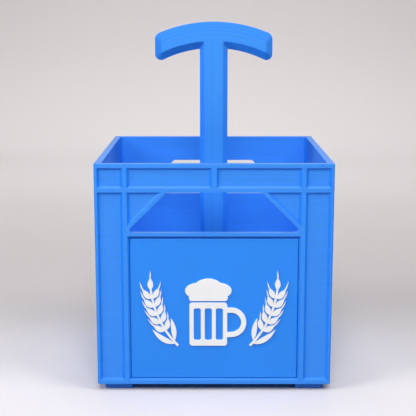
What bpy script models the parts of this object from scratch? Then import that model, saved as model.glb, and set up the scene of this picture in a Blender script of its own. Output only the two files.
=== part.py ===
"""A small carrying crate: a ribbed one-piece box, a sign plate and a bolted T handle.

Lengths are in metres. The crate stands on z = 0, centred on the z axis, and its sign faces -y.
"""

import math

import bmesh
import bpy
from mathutils import Matrix, Vector

# Crate box
CRATE_WIDTH = 0.1447
WALL_HEIGHT = 0.1385
WALL_THICKNESS = 0.0042
FLOOR_THICKNESS = 0.005
CORNER_RADIUS = 0.001
CAVITY_CORNER_RADIUS = 0.002
EDGE_CHAMFER = 0.00025

# Feet, which would seat inside the rim of a crate below
FOOT_WIDTH = 0.0172
FOOT_HEIGHT = 0.0043
FOOT_RIM_CLEARANCE = 0.0002
FOOT_CORNER_RADIUS = 0.0012
FOOT_CHAMFER = 0.0005

# Ribs and rails: the raised bands left between recesses in each wall
RECESS_DEPTH = 0.0014
RECESS_BEVEL = 0.0014
CORNER_BAND_WIDTH = 0.0018
SIDE_COLUMN_WIDTH = 0.0153
SIDE_RIB_WIDTH = 0.0026
CENTRE_RIB_WIDTH = 0.003
TOP_BAND_HEIGHT = 0.00245
TOP_PANEL_HEIGHT = 0.0125
MIDDLE_RAIL_HEIGHT = 0.0023
SILL_RAIL_HEIGHT = 0.0019
BOTTOM_RAIL_HEIGHT = 0.00255

# Hand windows with slanted sides, and the slanted ribs beside them
WINDOW_HEIGHT = 0.025
WINDOW_SLOPE_SHARE = 1.0
WINDOW_TIP_RADIUS = 0.0018
WINDOW_TIP_MARGIN = 0.0015
WINDOW_TOP_RADIUS = 0.001
SLANTED_RIB_WIDTH = 0.0021

# Sign plate and its seat in the front wall
PLATE_THICKNESS = 0.0015
PLATE_SIDE_GAP = 0.0004
PLATE_TOP_GAP = 0.00075
PLATE_BACK_GAP = 0.0003
PLATE_EDGE_CHAMFER = 0.0002
PLATE_SEAT_BEVEL = 0.001
PLATE_SEAT_DEPTH = 0.0028

# Socket on the floor that takes the foot of the handle's post
SOCKET_HEIGHT = 0.022
SOCKET_WALL = 0.0024
SOCKET_CHAMFER = 0.0008
POST_CLEARANCE = 0.0003

# Handle
HANDLE_RISE = 0.08335
HANDLE_THICKNESS = 0.018
HANDLE_BEVEL_DEPTH = 0.0045
GRIP_LENGTH = 0.0765
GRIP_DEPTH = 0.0169
GRIP_CURVE_RADIUS = 0.0928
GRIP_CORNER_RADIUS = 0.0045
GRIP_TIP_RADIUS = 0.0039
POST_WIDTH = 0.01815
TOP_BEVEL_WIDTH = 0.0056
UNDERSIDE_BEVEL_WIDTH = 0.0047
END_BEVEL_WIDTH = 0.00435
POST_BEVEL_WIDTH = 0.003
POST_FOOT_CHAMFER = 0.001
FLAT_CORNER_RADIUS = 0.0004

# Fixing under the floor: button-head screw, washer and a nut held in the post
SCREW_CORE_RADIUS = 0.0021
SCREW_LENGTH = 0.016
SCREW_HEAD_RADIUS = 0.00475
SCREW_HEAD_HEIGHT = 0.00275
SCREW_KEY_WIDTH = 0.003
SCREW_KEY_DEPTH = 0.0015
SCREW_HOLE_RADIUS = 0.00275
SCREW_END_CHAMFER = 0.0005
WASHER_RADIUS = 0.005
WASHER_BORE_RADIUS = 0.00265
WASHER_THICKNESS = 0.001
WASHER_RECESS_DEPTH = 0.0016
WASHER_SIDE_CLEARANCE = 0.0005
NUT_WIDTH = 0.008
NUT_THICKNESS = 0.004
NUT_FACE_CHAMFER = 0.0005
NUT_CLEARANCE = 0.0003
NUT_SEAT_HEIGHT = 0.004
SCREW_TIP_ROOM = 0.002
CONTACT_GAP = 0.0003

# Facets and the overrun of every cut
CORNER_SEGMENTS = 4
TIP_SEGMENTS = 6
ARC_SEGMENTS = 18
ROUND_SEGMENTS = 32
HEAD_DOME_SEGMENTS = 5
CUT_OVERRUN = 0.002

# Surface colours, as red, green, blue and alpha
CRATE_BLUE = (0.052, 0.291, 0.913, 1.0)
PLATE_BLUE = (0.031, 0.254, 0.871, 1.0)
HANDLE_BLUE = (0.056, 0.305, 0.930, 1.0)
ZINC = (0.62, 0.63, 0.64, 1.0)
STAINLESS = (0.55, 0.55, 0.56, 1.0)

# Levels, from the ground up
HALF_WIDTH = CRATE_WIDTH / 2
CAVITY_HALF = HALF_WIDTH - WALL_THICKNESS
WALL_BOTTOM = FOOT_HEIGHT
FLOOR_TOP = WALL_BOTTOM + FLOOR_THICKNESS
RIM = WALL_BOTTOM + WALL_HEIGHT
TOP_PANEL_TOP = RIM - TOP_BAND_HEIGHT
TOP_PANEL_BOTTOM = TOP_PANEL_TOP - TOP_PANEL_HEIGHT
WINDOW_TOP = TOP_PANEL_BOTTOM - MIDDLE_RAIL_HEIGHT
WINDOW_BOTTOM = WINDOW_TOP - WINDOW_HEIGHT
FIELD_TOP = WINDOW_BOTTOM - SILL_RAIL_HEIGHT
FIELD_BOTTOM = WALL_BOTTOM + BOTTOM_RAIL_HEIGHT

# Distances across a wall, from its middle
COLUMN_OUTER = HALF_WIDTH - CORNER_BAND_WIDTH
COLUMN_INNER = COLUMN_OUTER - SIDE_COLUMN_WIDTH
FIELD_HALF = COLUMN_INNER - SIDE_RIB_WIDTH
CENTRE_RIB_HALF = CENTRE_RIB_WIDTH / 2

# The window's sharp corners, before they are rounded
SLOPE_ANGLE = math.atan(WINDOW_SLOPE_SHARE)
TIP_REACH = WINDOW_TIP_RADIUS * (1 / math.tan(SLOPE_ANGLE / 2) - 1)
WINDOW_BOTTOM_HALF = FIELD_HALF - WINDOW_TIP_MARGIN + TIP_REACH
WINDOW_TOP_HALF = WINDOW_BOTTOM_HALF - WINDOW_HEIGHT / WINDOW_SLOPE_SHARE
SLANTED_RIB_SPAN = SLANTED_RIB_WIDTH / math.sin(SLOPE_ANGLE)

# Handle levels
HANDLE_TOP = RIM + HANDLE_RISE
GRIP_CENTRE = HANDLE_TOP - GRIP_CURVE_RADIUS
POST_FOOT = FLOOR_TOP + CONTACT_GAP

# Fixing levels
WASHER_TOP = WALL_BOTTOM + WASHER_RECESS_DEPTH - CONTACT_GAP
HEAD_TOP = WASHER_TOP - WASHER_THICKNESS - CONTACT_GAP
SCREW_END = HEAD_TOP + SCREW_LENGTH
NUT_SLOT_BOTTOM = POST_FOOT + NUT_SEAT_HEIGHT
NUT_BOTTOM = NUT_SLOT_BOTTOM + NUT_CLEARANCE
NUT_SLOT_TOP = NUT_BOTTOM + NUT_THICKNESS + NUT_CLEARANCE


def clear_scene():
    """Removes whatever the scene holds."""
    for item in list(bpy.data.objects):
        bpy.data.objects.remove(item, do_unlink=True)


def make_material(name, colour, roughness, metallic):
    """Makes a plain surface."""
    material = bpy.data.materials.new(name)
    material.use_nodes = True
    shader = material.node_tree.nodes["Principled BSDF"]
    shader.inputs["Base Color"].default_value = colour
    shader.inputs["Roughness"].default_value = roughness
    shader.inputs["Metallic"].default_value = metallic
    return material


def make_object(name, body, material=None):
    """Turns a bmesh into an object in the scene, with its faces turned outwards."""
    bmesh.ops.recalc_face_normals(body, faces=body.faces)
    mesh = bpy.data.meshes.new(name)
    body.to_mesh(mesh)
    body.free()
    item = bpy.data.objects.new(name, mesh)
    bpy.context.scene.collection.objects.link(item)
    if material is not None:
        mesh.materials.append(material)
    return item


def apply_cutter(target, name, body, operation):
    """Joins a guide body to a target, or cuts it away, and leaves the guide out of the model."""
    guide = make_object(name, body)
    guide.hide_render = True
    guide.display_type = "WIRE"
    modifier = target.modifiers.new(name, "BOOLEAN")
    modifier.operation = operation
    modifier.solver = "EXACT"
    modifier.object = guide


def loft(body, sections):
    """Skins a closed body through outlines that all have the same number of points."""
    rings = [[body.verts.new(point) for point in section] for section in sections]
    for lower, upper in zip(rings, rings[1:]):
        for i in range(len(lower)):
            j = (i + 1) % len(lower)
            body.faces.new((lower[i], lower[j], upper[j], upper[i]))
    body.faces.new(rings[0])
    body.faces.new(rings[-1])


def level(outline, height):
    """Lays a flat outline at one height."""
    return [Vector((x, y, height)) for x, y in outline]


def arc(centre, radius, start, end, segments):
    """Points on an arc, with angles counted from +x towards +y."""
    points = []
    for i in range(segments + 1):
        angle = start + (end - start) * i / segments
        points.append((centre[0] + radius * math.cos(angle), centre[1] + radius * math.sin(angle)))
    return points


def rounded_square(half, radius, centre=(0, 0)):
    """Outline of a square with rounded corners."""
    points = []
    for quarter in range(4):
        turn = Matrix.Rotation(quarter * math.pi / 2, 2)
        corner = arc((half - radius, half - radius), radius, 0, math.pi / 2, CORNER_SEGMENTS)
        for point in corner:
            x, y = turn @ Vector(point)
            points.append((centre[0] + x, centre[1] + y))
    return points


def polygon(sides, across_flats):
    """Outline of a regular polygon with a flat towards +x."""
    radius = across_flats / 2 / math.cos(math.pi / sides)
    angles = [math.pi * (2 * i + 1) / sides for i in range(sides)]
    return [(radius * math.cos(angle), radius * math.sin(angle)) for angle in angles]


def offset_outline(outline, distance):
    """Moves every edge of a convex anticlockwise outline outwards, with mitred corners."""
    moved = []
    count = len(outline)
    for i in range(count):
        before = Vector(outline[i - 1])
        here = Vector(outline[i])
        after = Vector(outline[(i + 1) % count])
        arriving = (here - before).normalized()
        leaving = (after - here).normalized()
        normal_in = Vector((arriving.y, -arriving.x))
        normal_out = Vector((leaving.y, -leaving.x))
        mitre = (normal_in + normal_out) / (1 + normal_in.dot(normal_out))
        moved.append(tuple(here + mitre * distance))
    return moved


def round_corner(before, corner, after, radius, segments):
    """Points of the arc that rounds one corner of an outline."""
    to_before = (Vector(before) - Vector(corner)).normalized()
    to_after = (Vector(after) - Vector(corner)).normalized()
    half_angle = to_before.angle(to_after) / 2
    bisector = (to_before + to_after).normalized()
    centre = Vector(corner) + bisector * radius / math.sin(half_angle)
    tangent_length = radius / math.tan(half_angle)
    start = Vector(corner) + to_before * tangent_length - centre
    end = Vector(corner) + to_after * tangent_length - centre
    first = math.atan2(start.y, start.x)
    sweep = math.atan2(start.x * end.y - start.y * end.x, start.dot(end))
    return arc(centre, radius, first, first + sweep, segments)


def revolve(body, profile):
    """Turns an outline of (radius, height) points round the z axis into a closed body."""
    points = [body.verts.new((radius, 0, height)) for radius, height in profile]
    edges = [body.edges.new((points[i - 1], points[i])) for i in range(len(points))]
    bmesh.ops.spin(
        body,
        geom=points + edges,
        axis=(0, 0, 1),
        cent=(0, 0, 0),
        angle=2 * math.pi,
        steps=ROUND_SEGMENTS,
        use_merge=True,
    )


def wall_turns():
    """The quarter turns that carry the front wall to each of the four walls."""
    return [Matrix.Rotation(quarter * math.pi / 2, 4, "Z") for quarter in range(4)]


def wall_section(outline, depth, turn):
    """Stands an outline of (across, up) points in a wall, at a depth below its outer face."""
    return [turn @ Vector((across, depth - HALF_WIDTH, up)) for across, up in outline]


def rectangle(left, right, bottom, top):
    """Outline of an upright rectangle."""
    return [(left, bottom), (right, bottom), (right, top), (left, top)]


def mirrored(outline):
    """The outline on the other side of the wall's middle, still anticlockwise."""
    return [(-across, up) for across, up in reversed(outline)]


def gusset_outline():
    """The three-cornered recess between a side rib, the middle rail and a slanted rib."""
    start = WINDOW_TOP_HALF + SLANTED_RIB_SPAN
    drop = (FIELD_HALF - start) * WINDOW_SLOPE_SHARE
    return [(start, WINDOW_TOP), (FIELD_HALF, WINDOW_TOP - drop), (FIELD_HALF, WINDOW_TOP)]


def recess_outlines():
    """Every bevelled recess of one wall, apart from the large field under the window."""
    halves = [
        rectangle(COLUMN_INNER, COLUMN_OUTER, FIELD_BOTTOM, WINDOW_TOP),
        rectangle(COLUMN_INNER, COLUMN_OUTER, TOP_PANEL_BOTTOM, TOP_PANEL_TOP),
        rectangle(CENTRE_RIB_HALF, FIELD_HALF, TOP_PANEL_BOTTOM, TOP_PANEL_TOP),
        gusset_outline(),
    ]
    return halves + [mirrored(outline) for outline in halves]


def field_outline():
    """The large recess under the window, which holds the sign on the front wall."""
    return rectangle(-FIELD_HALF, FIELD_HALF, FIELD_BOTTOM, FIELD_TOP)


def window_outline():
    """The hand window: a level sill and top, slanted sides and rounded corners."""
    corners = [
        ((-WINDOW_BOTTOM_HALF, WINDOW_BOTTOM), WINDOW_TIP_RADIUS),
        ((WINDOW_BOTTOM_HALF, WINDOW_BOTTOM), WINDOW_TIP_RADIUS),
        ((WINDOW_TOP_HALF, WINDOW_TOP), WINDOW_TOP_RADIUS),
        ((-WINDOW_TOP_HALF, WINDOW_TOP), WINDOW_TOP_RADIUS),
    ]
    points = []
    for i, (corner, radius) in enumerate(corners):
        before = corners[i - 1][0]
        after = corners[(i + 1) % len(corners)][0]
        points += round_corner(before, corner, after, radius, TIP_SEGMENTS)
    return points


def add_recess(body, outline, bevel, bevel_depth, depth, turn):
    """Adds the cutter of one recess, whose sides slope in before any straight part."""
    inner = offset_outline(outline, -bevel)
    sections = [
        wall_section(outline, -CUT_OVERRUN, turn),
        wall_section(outline, 0, turn),
        wall_section(inner, bevel_depth, turn),
    ]
    if depth > bevel_depth:
        sections.append(wall_section(inner, depth, turn))
    loft(body, sections)


def wall_pattern_cutter():
    """Recesses of all four walls, with the deep plate seat in the front one."""
    body = bmesh.new()
    for quarter, turn in enumerate(wall_turns()):
        for outline in recess_outlines():
            add_recess(body, outline, RECESS_BEVEL, RECESS_DEPTH, RECESS_DEPTH, turn)
        if quarter == 0:
            add_recess(body, field_outline(), PLATE_SEAT_BEVEL, PLATE_SEAT_BEVEL, PLATE_SEAT_DEPTH, turn)
        else:
            add_recess(body, field_outline(), RECESS_BEVEL, RECESS_DEPTH, RECESS_DEPTH, turn)
    return body


def window_cutter():
    """Windows through all four walls."""
    body = bmesh.new()
    for turn in wall_turns():
        sections = [
            wall_section(window_outline(), -CUT_OVERRUN, turn),
            wall_section(window_outline(), WALL_THICKNESS + CUT_OVERRUN, turn),
        ]
        loft(body, sections)
    return body


def block_body():
    """The solid block that the crate is hollowed from."""
    body = bmesh.new()
    full = rounded_square(HALF_WIDTH, CORNER_RADIUS)
    small = rounded_square(HALF_WIDTH - EDGE_CHAMFER, CORNER_RADIUS)
    sections = [
        level(small, WALL_BOTTOM),
        level(full, WALL_BOTTOM + EDGE_CHAMFER),
        level(full, RIM - EDGE_CHAMFER),
        level(small, RIM),
    ]
    loft(body, sections)
    return body


def cavity_cutter():
    """The room inside the box, with a chamfer at the rim."""
    body = bmesh.new()
    room = rounded_square(CAVITY_HALF, CAVITY_CORNER_RADIUS)
    mouth = rounded_square(CAVITY_HALF + EDGE_CHAMFER, CAVITY_CORNER_RADIUS)
    sections = [
        level(room, FLOOR_TOP),
        level(room, RIM - EDGE_CHAMFER),
        level(mouth, RIM),
        level(mouth, RIM + CUT_OVERRUN),
    ]
    loft(body, sections)
    return body


def post_outline(clearance):
    """The post's eight-sided section, grown by a clearance."""
    wide = POST_WIDTH / 2
    deep = HANDLE_THICKNESS / 2
    flat_wide = wide - POST_BEVEL_WIDTH
    flat_deep = deep - HANDLE_BEVEL_DEPTH
    section = [
        (wide, -flat_deep),
        (wide, flat_deep),
        (flat_wide, deep),
        (-flat_wide, deep),
        (-wide, flat_deep),
        (-wide, -flat_deep),
        (-flat_wide, -deep),
        (flat_wide, -deep),
    ]
    return offset_outline(section, clearance)


def feet_and_socket():
    """Four feet under the floor and the handle's socket on it."""
    body = bmesh.new()
    inside_floor = FLOOR_THICKNESS / 2
    place = CAVITY_HALF - FOOT_RIM_CLEARANCE - FOOT_WIDTH / 2
    for x_side in (-1, 1):
        for y_side in (-1, 1):
            centre = (x_side * place, y_side * place)
            tread = rounded_square(FOOT_WIDTH / 2 - FOOT_CHAMFER, FOOT_CORNER_RADIUS, centre)
            full = rounded_square(FOOT_WIDTH / 2, FOOT_CORNER_RADIUS, centre)
            sections = [level(tread, 0), level(full, FOOT_CHAMFER), level(full, WALL_BOTTOM + inside_floor)]
            loft(body, sections)
    collar = post_outline(POST_CLEARANCE + SOCKET_WALL)
    collar_top = post_outline(POST_CLEARANCE + SOCKET_WALL - SOCKET_CHAMFER)
    sections = [
        level(collar, FLOOR_TOP - inside_floor),
        level(collar, FLOOR_TOP + SOCKET_HEIGHT - SOCKET_CHAMFER),
        level(collar_top, FLOOR_TOP + SOCKET_HEIGHT),
    ]
    loft(body, sections)
    return body


def socket_cutter():
    """The room for the post inside the socket."""
    body = bmesh.new()
    room = post_outline(POST_CLEARANCE)
    loft(body, [level(room, FLOOR_TOP), level(room, FLOOR_TOP + SOCKET_HEIGHT + CUT_OVERRUN)])
    return body


def floor_hole_cutter():
    """The screw's hole through the floor, with the washer's recess below."""
    body = bmesh.new()
    recess_radius = WASHER_RADIUS + WASHER_SIDE_CLEARANCE
    recess_top = WALL_BOTTOM + WASHER_RECESS_DEPTH
    profile = [
        (0, WALL_BOTTOM - CUT_OVERRUN),
        (recess_radius, WALL_BOTTOM - CUT_OVERRUN),
        (recess_radius, recess_top),
        (SCREW_HOLE_RADIUS, recess_top),
        (SCREW_HOLE_RADIUS, FLOOR_TOP + CUT_OVERRUN),
        (0, FLOOR_TOP + CUT_OVERRUN),
    ]
    revolve_solid(body, profile)
    return body


def revolve_solid(body, profile):
    """Turns a profile whose first and last points lie on the axis."""
    inner = profile[1:-1]
    rings = []
    for radius, height in inner:
        circle = polygon(ROUND_SEGMENTS, 2 * radius)
        rings.append(level(circle, height))
    loft(body, rings)


def build_crate(material):
    """The box: hollowed, footed, fitted with the socket, then patterned and pierced."""
    crate = make_object("crate_body", block_body(), material)
    apply_cutter(crate, "cavity_guide", cavity_cutter(), "DIFFERENCE")
    apply_cutter(crate, "feet_and_socket_guide", feet_and_socket(), "UNION")
    apply_cutter(crate, "socket_guide", socket_cutter(), "DIFFERENCE")
    apply_cutter(crate, "floor_hole_guide", floor_hole_cutter(), "DIFFERENCE")
    apply_cutter(crate, "wall_pattern_guide", wall_pattern_cutter(), "DIFFERENCE")
    apply_cutter(crate, "window_guide", window_cutter(), "DIFFERENCE")
    return crate


def plate_outline(inset):
    """The plate's outline, drawn in all round: it stands low in its seat, with the widest gap above it."""
    half = FIELD_HALF - PLATE_SEAT_BEVEL - PLATE_SIDE_GAP - inset
    low = FIELD_BOTTOM + PLATE_SEAT_BEVEL + CONTACT_GAP + inset
    high = FIELD_TOP - PLATE_SEAT_BEVEL - PLATE_TOP_GAP - inset
    return rectangle(-half, half, low, high)


def build_plate(material):
    """The sign plate, seated in the front field with a shadow gap round it."""
    body = bmesh.new()
    turn = Matrix.Identity(4)
    back = plate_outline(0)
    face = plate_outline(PLATE_EDGE_CHAMFER)
    back_depth = PLATE_SEAT_DEPTH - PLATE_BACK_GAP
    front_depth = back_depth - PLATE_THICKNESS
    sections = [
        wall_section(back, back_depth, turn),
        wall_section(back, front_depth + PLATE_EDGE_CHAMFER, turn),
        wall_section(face, front_depth, turn),
    ]
    loft(body, sections)
    return make_object("sign_plate", body, material)


def handle_outline(top, underside, end, post, foot, corner_radius, tip_radius):
    """The T of the handle, seen from the front, drawn in from its silhouette by the first five lengths."""
    half_post = POST_WIDTH / 2 - post
    half_grip = GRIP_LENGTH / 2 - end
    outer = GRIP_CURVE_RADIUS - top
    inner = GRIP_CURVE_RADIUS - GRIP_DEPTH + underside
    quarter = math.pi / 2
    tip_x = half_grip - tip_radius
    tip_lean = math.asin(tip_x / (inner + tip_radius))
    tip_z = GRIP_CENTRE + (inner + tip_radius) * math.cos(tip_lean)
    corner_x = half_grip - corner_radius
    corner_lean = math.asin(corner_x / (outer - corner_radius))
    corner_z = GRIP_CENTRE + (outer - corner_radius) * math.cos(corner_lean)
    post_lean = math.asin(half_post / inner)
    right = [(half_post, POST_FOOT + foot)]
    right += arc((0, GRIP_CENTRE), inner, quarter - post_lean, quarter - tip_lean, ARC_SEGMENTS)
    right += arc((tip_x, tip_z), tip_radius, -quarter - tip_lean, 0, TIP_SEGMENTS)[1:]
    right += arc((corner_x, corner_z), corner_radius, 0, quarter - corner_lean, CORNER_SEGMENTS)
    right += arc((0, GRIP_CENTRE), outer, quarter - corner_lean, quarter, ARC_SEGMENTS)[1:]
    left = [(-x, z) for x, z in reversed(right[:-1])]
    return right + left


def handle_section(outline, y):
    """Stands an outline of the handle at one distance from its middle plane."""
    return [Vector((x, y, z)) for x, z in outline]


def handle_body():
    """The handle: a full outline in the middle, sloping to smaller flats in front and behind."""
    body = bmesh.new()
    full = handle_outline(0, 0, 0, 0, 0, GRIP_CORNER_RADIUS, GRIP_TIP_RADIUS)
    flat = handle_outline(
        TOP_BEVEL_WIDTH,
        UNDERSIDE_BEVEL_WIDTH,
        END_BEVEL_WIDTH,
        POST_BEVEL_WIDTH,
        POST_FOOT_CHAMFER,
        FLAT_CORNER_RADIUS,
        FLAT_CORNER_RADIUS,
    )
    face = HANDLE_THICKNESS / 2
    shoulder = face - HANDLE_BEVEL_DEPTH
    sections = [
        handle_section(flat, -face),
        handle_section(full, -shoulder),
        handle_section(full, shoulder),
        handle_section(flat, face),
    ]
    loft(body, sections)
    return body


def post_hole_cutter():
    """The screw's hole in the foot of the post."""
    body = bmesh.new()
    top = SCREW_END + SCREW_TIP_ROOM
    outline = polygon(ROUND_SEGMENTS, 2 * SCREW_HOLE_RADIUS)
    loft(body, [level(outline, POST_FOOT - CUT_OVERRUN), level(outline, top)])
    return body


def nut_slot_cutter():
    """The slot from the back of the post that the nut slides into."""
    body = bmesh.new()
    side = NUT_WIDTH / 2 + NUT_CLEARANCE
    back = HANDLE_THICKNESS / 2 + CUT_OVERRUN
    shoulder = side * math.tan(math.pi / 6)
    point = side / math.cos(math.pi / 6)
    outline = [(side, back), (-side, back), (-side, -shoulder), (0, -point), (side, -shoulder)]
    loft(body, [level(outline, NUT_SLOT_BOTTOM), level(outline, NUT_SLOT_TOP)])
    return body


def build_handle(material):
    """The T handle with its screw hole and nut slot."""
    handle = make_object("handle", handle_body(), material)
    apply_cutter(handle, "post_hole_guide", post_hole_cutter(), "DIFFERENCE")
    apply_cutter(handle, "nut_slot_guide", nut_slot_cutter(), "DIFFERENCE")
    return handle


def build_screw(material):
    """The button-head screw, with its thread as a plain core and a six-sided key socket."""
    body = bmesh.new()
    head_bottom = HEAD_TOP - SCREW_HEAD_HEIGHT
    dome_flat = SCREW_KEY_WIDTH
    profile = [(0, head_bottom), (dome_flat, head_bottom)]
    for i in range(1, HEAD_DOME_SEGMENTS + 1):
        angle = math.pi / 2 * i / HEAD_DOME_SEGMENTS
        radius = dome_flat + (SCREW_HEAD_RADIUS - dome_flat) * math.sin(angle)
        profile.append((radius, HEAD_TOP - SCREW_HEAD_HEIGHT * math.cos(angle)))
    profile += [
        (SCREW_CORE_RADIUS, HEAD_TOP),
        (SCREW_CORE_RADIUS, SCREW_END - SCREW_END_CHAMFER),
        (SCREW_CORE_RADIUS - SCREW_END_CHAMFER, SCREW_END),
        (0, SCREW_END),
    ]
    revolve_solid(body, profile)
    screw = make_object("handle_screw", body, material)
    key = bmesh.new()
    hexagon = polygon(6, SCREW_KEY_WIDTH)
    loft(key, [level(hexagon, head_bottom - CUT_OVERRUN), level(hexagon, head_bottom + SCREW_KEY_DEPTH)])
    apply_cutter(screw, "key_socket_guide", key, "DIFFERENCE")
    return screw


def build_washer(material):
    """The flat washer between the screw's head and the floor."""
    body = bmesh.new()
    bottom = WASHER_TOP - WASHER_THICKNESS
    profile = [
        (WASHER_BORE_RADIUS, bottom),
        (WASHER_RADIUS, bottom),
        (WASHER_RADIUS, WASHER_TOP),
        (WASHER_BORE_RADIUS, WASHER_TOP),
    ]
    revolve(body, profile)
    return make_object("handle_washer", body, material)


def build_nut(material):
    """The hexagon nut held in the post, with chamfered faces."""
    body = bmesh.new()
    hexagon = polygon(6, NUT_WIDTH)
    chamfered = polygon(6, NUT_WIDTH - 2 * NUT_FACE_CHAMFER)
    top = NUT_BOTTOM + NUT_THICKNESS
    sections = [
        level(chamfered, NUT_BOTTOM),
        level(hexagon, NUT_BOTTOM + NUT_FACE_CHAMFER),
        level(hexagon, top - NUT_FACE_CHAMFER),
        level(chamfered, top),
    ]
    loft(body, sections)
    nut = make_object("handle_nut", body, material)
    bore = bmesh.new()
    outline = polygon(ROUND_SEGMENTS, 2 * (SCREW_CORE_RADIUS + CONTACT_GAP))
    loft(bore, [level(outline, NUT_BOTTOM - CUT_OVERRUN), level(outline, top + CUT_OVERRUN)])
    apply_cutter(nut, "nut_bore_guide", bore, "DIFFERENCE")
    return nut


def main():
    """Builds every piece of the crate."""
    clear_scene()
    build_crate(make_material("crate_plastic", CRATE_BLUE, 0.5, 0.0))
    build_plate(make_material("plate_plastic", PLATE_BLUE, 0.45, 0.0))
    build_handle(make_material("handle_plastic", HANDLE_BLUE, 0.5, 0.0))
    build_screw(make_material("screw_steel", STAINLESS, 0.3, 1.0))
    build_washer(make_material("washer_steel", ZINC, 0.35, 1.0))
    build_nut(make_material("nut_steel", ZINC, 0.35, 1.0))


main()
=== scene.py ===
"""Looks of the small carrying crate: printed blue plastic, a raised white sign and plain studio light."""

import math
from itertools import accumulate

import bmesh
import bpy
from mathutils import Matrix, Vector


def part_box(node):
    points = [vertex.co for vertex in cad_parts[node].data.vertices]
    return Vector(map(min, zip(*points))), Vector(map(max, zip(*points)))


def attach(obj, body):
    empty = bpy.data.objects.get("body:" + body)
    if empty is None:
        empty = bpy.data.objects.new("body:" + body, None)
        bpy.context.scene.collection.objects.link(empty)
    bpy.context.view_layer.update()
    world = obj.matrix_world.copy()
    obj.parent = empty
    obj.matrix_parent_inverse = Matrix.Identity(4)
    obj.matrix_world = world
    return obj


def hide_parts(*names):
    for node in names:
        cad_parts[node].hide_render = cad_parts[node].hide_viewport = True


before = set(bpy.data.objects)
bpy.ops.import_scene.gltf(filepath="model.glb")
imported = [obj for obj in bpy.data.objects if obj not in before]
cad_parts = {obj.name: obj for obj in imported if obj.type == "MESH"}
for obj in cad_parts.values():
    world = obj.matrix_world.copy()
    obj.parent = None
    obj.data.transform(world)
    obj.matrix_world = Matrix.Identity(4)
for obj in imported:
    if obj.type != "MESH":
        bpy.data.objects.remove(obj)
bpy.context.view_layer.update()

# Merging, cutting and rounding of edges
MERGE_DISTANCE = 0.000005
JOINT_DISTANCE = 4 * MERGE_DISTANCE
CUT_DISTANCE = 0.000001
FLAT_ANGLE = math.radians(0.05)
EDGE_ANGLE = math.radians(28)
EDGE_SEGMENTS = 2
PLATE_EDGE = 0.00012
METAL_EDGE = 0.00012

# Axes, and half a side of the unit shapes that named sizes scale
Y_AXIS, Z_AXIS = 1, 2
UNIT_HALF = 0.5

# Layers of a print, in which its slopes come out as steps
LAYER_HEIGHT = 0.0002
LEVEL_GAP = 0.00002
SLOPE_LOW = 0.02
SLOPE_HIGH = 0.98
STEPPED_HEIGHT = 0.0003
STEP_ANGLE = math.radians(10)
CRATE_BEAD_SHARE = 0.36
SLOPE_MARK = "slope"

# Faces marked for painted shade: level tops are darkened, and leaning upright sides and slopes that look down
# take a deeper blue
LEVEL_MARK = "level_top"
LEAN_SHADE_MARK = "leaning_side_shade"
UNDER_SHADE_MARK = "under_slope_shade"
LEVEL_FACING = 0.99
LEAN_LOW = 0.3
LEAN_HIGH = 0.95
UNDER_FULL = 0.6
UNDER_HIGH = 0.9

# Colours
CRATE_BLUE = (0.031, 0.272, 0.930)
# Painted shade: a deeper blue that stands in for the shade on the crate's leaning sides and slopes that look
# down
PAINTED_SHADE_CRATE_BLUE = (0.0, 0.223, 0.915)
PLATE_BLUE = (0.013, 0.256, 0.930)
HANDLE_BLUE = (0.034, 0.290, 0.900)
# Painted shade: a deeper blue that stands in for the shade on the handle's undersides and leaning sides
PAINTED_SHADE_HANDLE_BLUE = (0.008, 0.285, 0.980)
SIGN_WHITE = (0.93, 0.93, 0.94)
SCREW_STEEL = (0.55, 0.55, 0.56)
ZINC_STEEL = (0.62, 0.63, 0.64)

# Every finish: how rich its noise is, how rough printed plastic is, and how far one laid bead stands out
PLAIN_DETAIL = 2.0
RICH_DETAIL = 3.0
PRINT_ROUGHNESS = 0.5
BEAD_DEPTH = 0.000012

# Finish of the crate: level layers up its sides, and rings on its level tops, which are also darkened as
# painted shade
BAND_SCALE = 800.0
BAND_STRETCH = (0.02, 0.02, 1.0)
BAND_TONES = (0.88, 1.12)
BAND_DEPTH = 3 * BEAD_DEPTH
GRAIN_SCALE = 2600.0
GRAIN_TONES = (0.93, 1.07)
GRAIN_DEPTH = BEAD_DEPTH / 2
RING_SCALE = 1000.0
RING_AND_SHADE_TONES = (0.55, 0.87)
CRATE_ROUGHNESS_CHANGE = (-0.08, 0.1)

# Finish of the handle: tracks along its outline, layers on its slopes, and painted shade on its bevels
GRIP_CURVE_RADIUS = 0.0928
GRIP_DEPTH = 0.0169
GRIP_TRACKS_DEPTH = 0.0145
TOP_BEVEL_WIDTH = 0.0056
UNDERSIDE_BEVEL_WIDTH = 0.0047
END_BEVEL_WIDTH = 0.00435
TRACK_BLEND = 0.0020
TRACK_SCALE = 620.0
TRACK_TONES = (0.88, 1.12)
TRACK_DEPTH = 2 * BEAD_DEPTH
HANDLE_LAYER_SCALE = 900.0
HANDLE_LAYER_TONES = (0.95, 1.05)
# Painted shade: how strongly the handle's leaning sides take the deeper blue
HANDLE_LEAN_SHADE_SHARE = 0.5
HANDLE_ROUGHNESS_CHANGE = (-0.12, 0.12)
# Painted shade in the crease under the top bevel and on the sloping ends beyond their mitres
CREASE_WIDTH = 0.0006
CREASE_SHADE = 0.87
END_BLEND = 0.0003
END_SHADE = 0.88

# Finish of the plate and the sign: fine slanted tracks
PLATE_ROUGHNESS = 0.46
SLANT_SCALE = 1900.0
SLANT_STRETCH = (1.0, 1.0, 0.03)
SLANT_TURN = (0.0, math.radians(45), 0.0)
SHADE_SCALE = 38.0
SHADE_TONES = (0.96, 1.04)
FLAT_ROUGHNESS_CHANGE = (-0.06, 0.06)

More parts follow.
